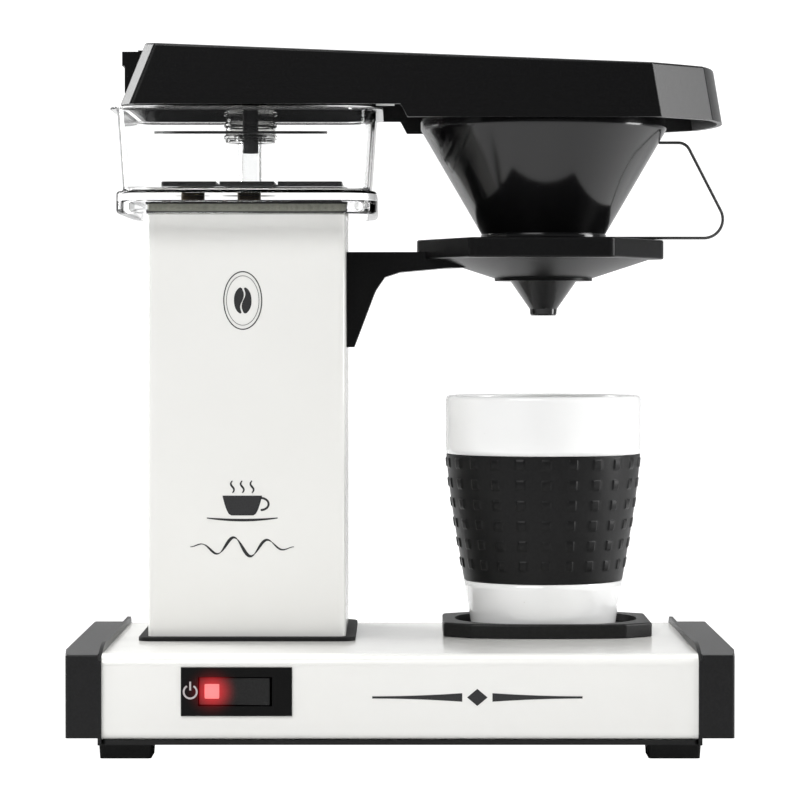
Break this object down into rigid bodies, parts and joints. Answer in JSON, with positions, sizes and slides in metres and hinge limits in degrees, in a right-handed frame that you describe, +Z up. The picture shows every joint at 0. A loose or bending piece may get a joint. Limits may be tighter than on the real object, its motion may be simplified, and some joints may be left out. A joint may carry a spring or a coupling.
{
  "type": "drip coffee maker",
  "caption": "Small drip coffee maker with a square tower, clear water tank, long flat hood, filter cone on a bracket and a gripped mug on a low wide base.",
  "frame": {"origin": "bottom centre of the whole object's box, on the surface it stands on", "axes": "+Z up, front towards -Y, tower at -X and brewing cone at +X"},
  "size_m": [0.2829, 0.172, 0.2997],
  "materials": {
    "enamel": "satin off-white paint",
    "black_plastic": "satin black moulding",
    "hood_plastic": "satin black moulding",
    "rubber": "matt black rubber",
    "clear_plastic": "clear moulded plastic",
    "riser_glass": "clear glass",
    "porcelain": "white glaze",
    "silicone": "matt black silicone",
    "steel": "plain steel",
    "dark_wire": "dark coated wire",
    "brass": "plain brass",
    "copper": "plain copper",
    "aluminium": "plain casting",
    "grey_cast": "grey coated casting",
    "collar_grey": "grey moulding",
    "ceramic": "plain white ceramic",
    "red_lens": "clear red window"
  },
  "bodies": {
    "base": {"base_shell": "enamel", "bottom_plate": "black_plastic", "side_plate_left": "black_plastic", "side_plate_right": "black_plastic", "end_cap_left": "black_plastic", "end_cap_right": "black_plastic", "feet": "rubber", "base_screws": "steel", "cord_gland": "rubber", "terminal_block": "ceramic", "switch_bezel": "black_plastic", "switch_housing": "black_plastic", "tower_gasket": "rubber", "tower_shell": "enamel", "tower_frame": "steel", "tower_screws": "steel", "tower_top_plate": "grey_cast", "tank_seal": "rubber", "boiler_tube": "copper", "heating_element": "steel", "boiler_clamps": "aluminium", "thermostats": "steel", "check_valve": "brass", "riser_fitting": "brass", "water_tank": "clear_plastic", "outlet_nut": "brass", "element_cover": "black_plastic", "riser_tube": "riser_glass", "filter_holder": "black_plastic", "holder_screws": "steel"},
    "switch": {"switch_rocker": "black_plastic", "switch_lens": "red_lens"},
    "hood": {"hood_cover": "hood_plastic", "lid_pin": "steel", "outlet_tube": "black_plastic", "spray_head": "black_plastic", "riser_collar": "collar_grey", "core_pipe": "black_plastic", "splash_disc": "black_plastic", "tube_clips": "steel", "clip_screws": "steel"},
    "lid": {"fill_lid": "hood_plastic"},
    "basket": {"basket_cone": "black_plastic", "basket_outlet": "black_plastic", "basket_handle": "dark_wire"},
    "trivet": {"trivet": "rubber"},
    "mug": {"mug_body": "porcelain", "mug_grip": "silicone"}
  },
  "joints": [
    {"name": "hood_lift", "type": "slide", "parent": "base", "child": "hood", "axis": [0, 0, 1], "range_m": [0, 0.09]},
    {"name": "lid_hinge", "type": "hinge", "parent": "hood", "child": "lid", "pos_m": [-0.025, 0.021, 0.29303], "axis": [0, 1, 0], "range_deg": [0, 95]},
    {"name": "basket_lift", "type": "slide", "parent": "base", "child": "basket", "axis": [0, 0, 1], "range_m": [0, 0.045]},
    {"name": "trivet_slide", "type": "slide", "parent": "base", "child": "trivet", "axis": [0, -1, 0], "range_m": [0, 0.06]},
    {"name": "mug_lift", "type": "slide", "parent": "trivet", "child": "mug", "axis": [0, 0, 1], "range_m": [0, 0.03]},
    {"name": "switch_rock", "type": "hinge", "parent": "base", "child": "switch", "pos_m": [-0.0693, -0.0795, 0.0284], "axis": [0, 0, 1], "range_deg": [0, 8]}
  ],
  "couplings": [
    {"joint": "basket_lift", "follows": "hood_lift", "ratio": 0.5}
  ]
}
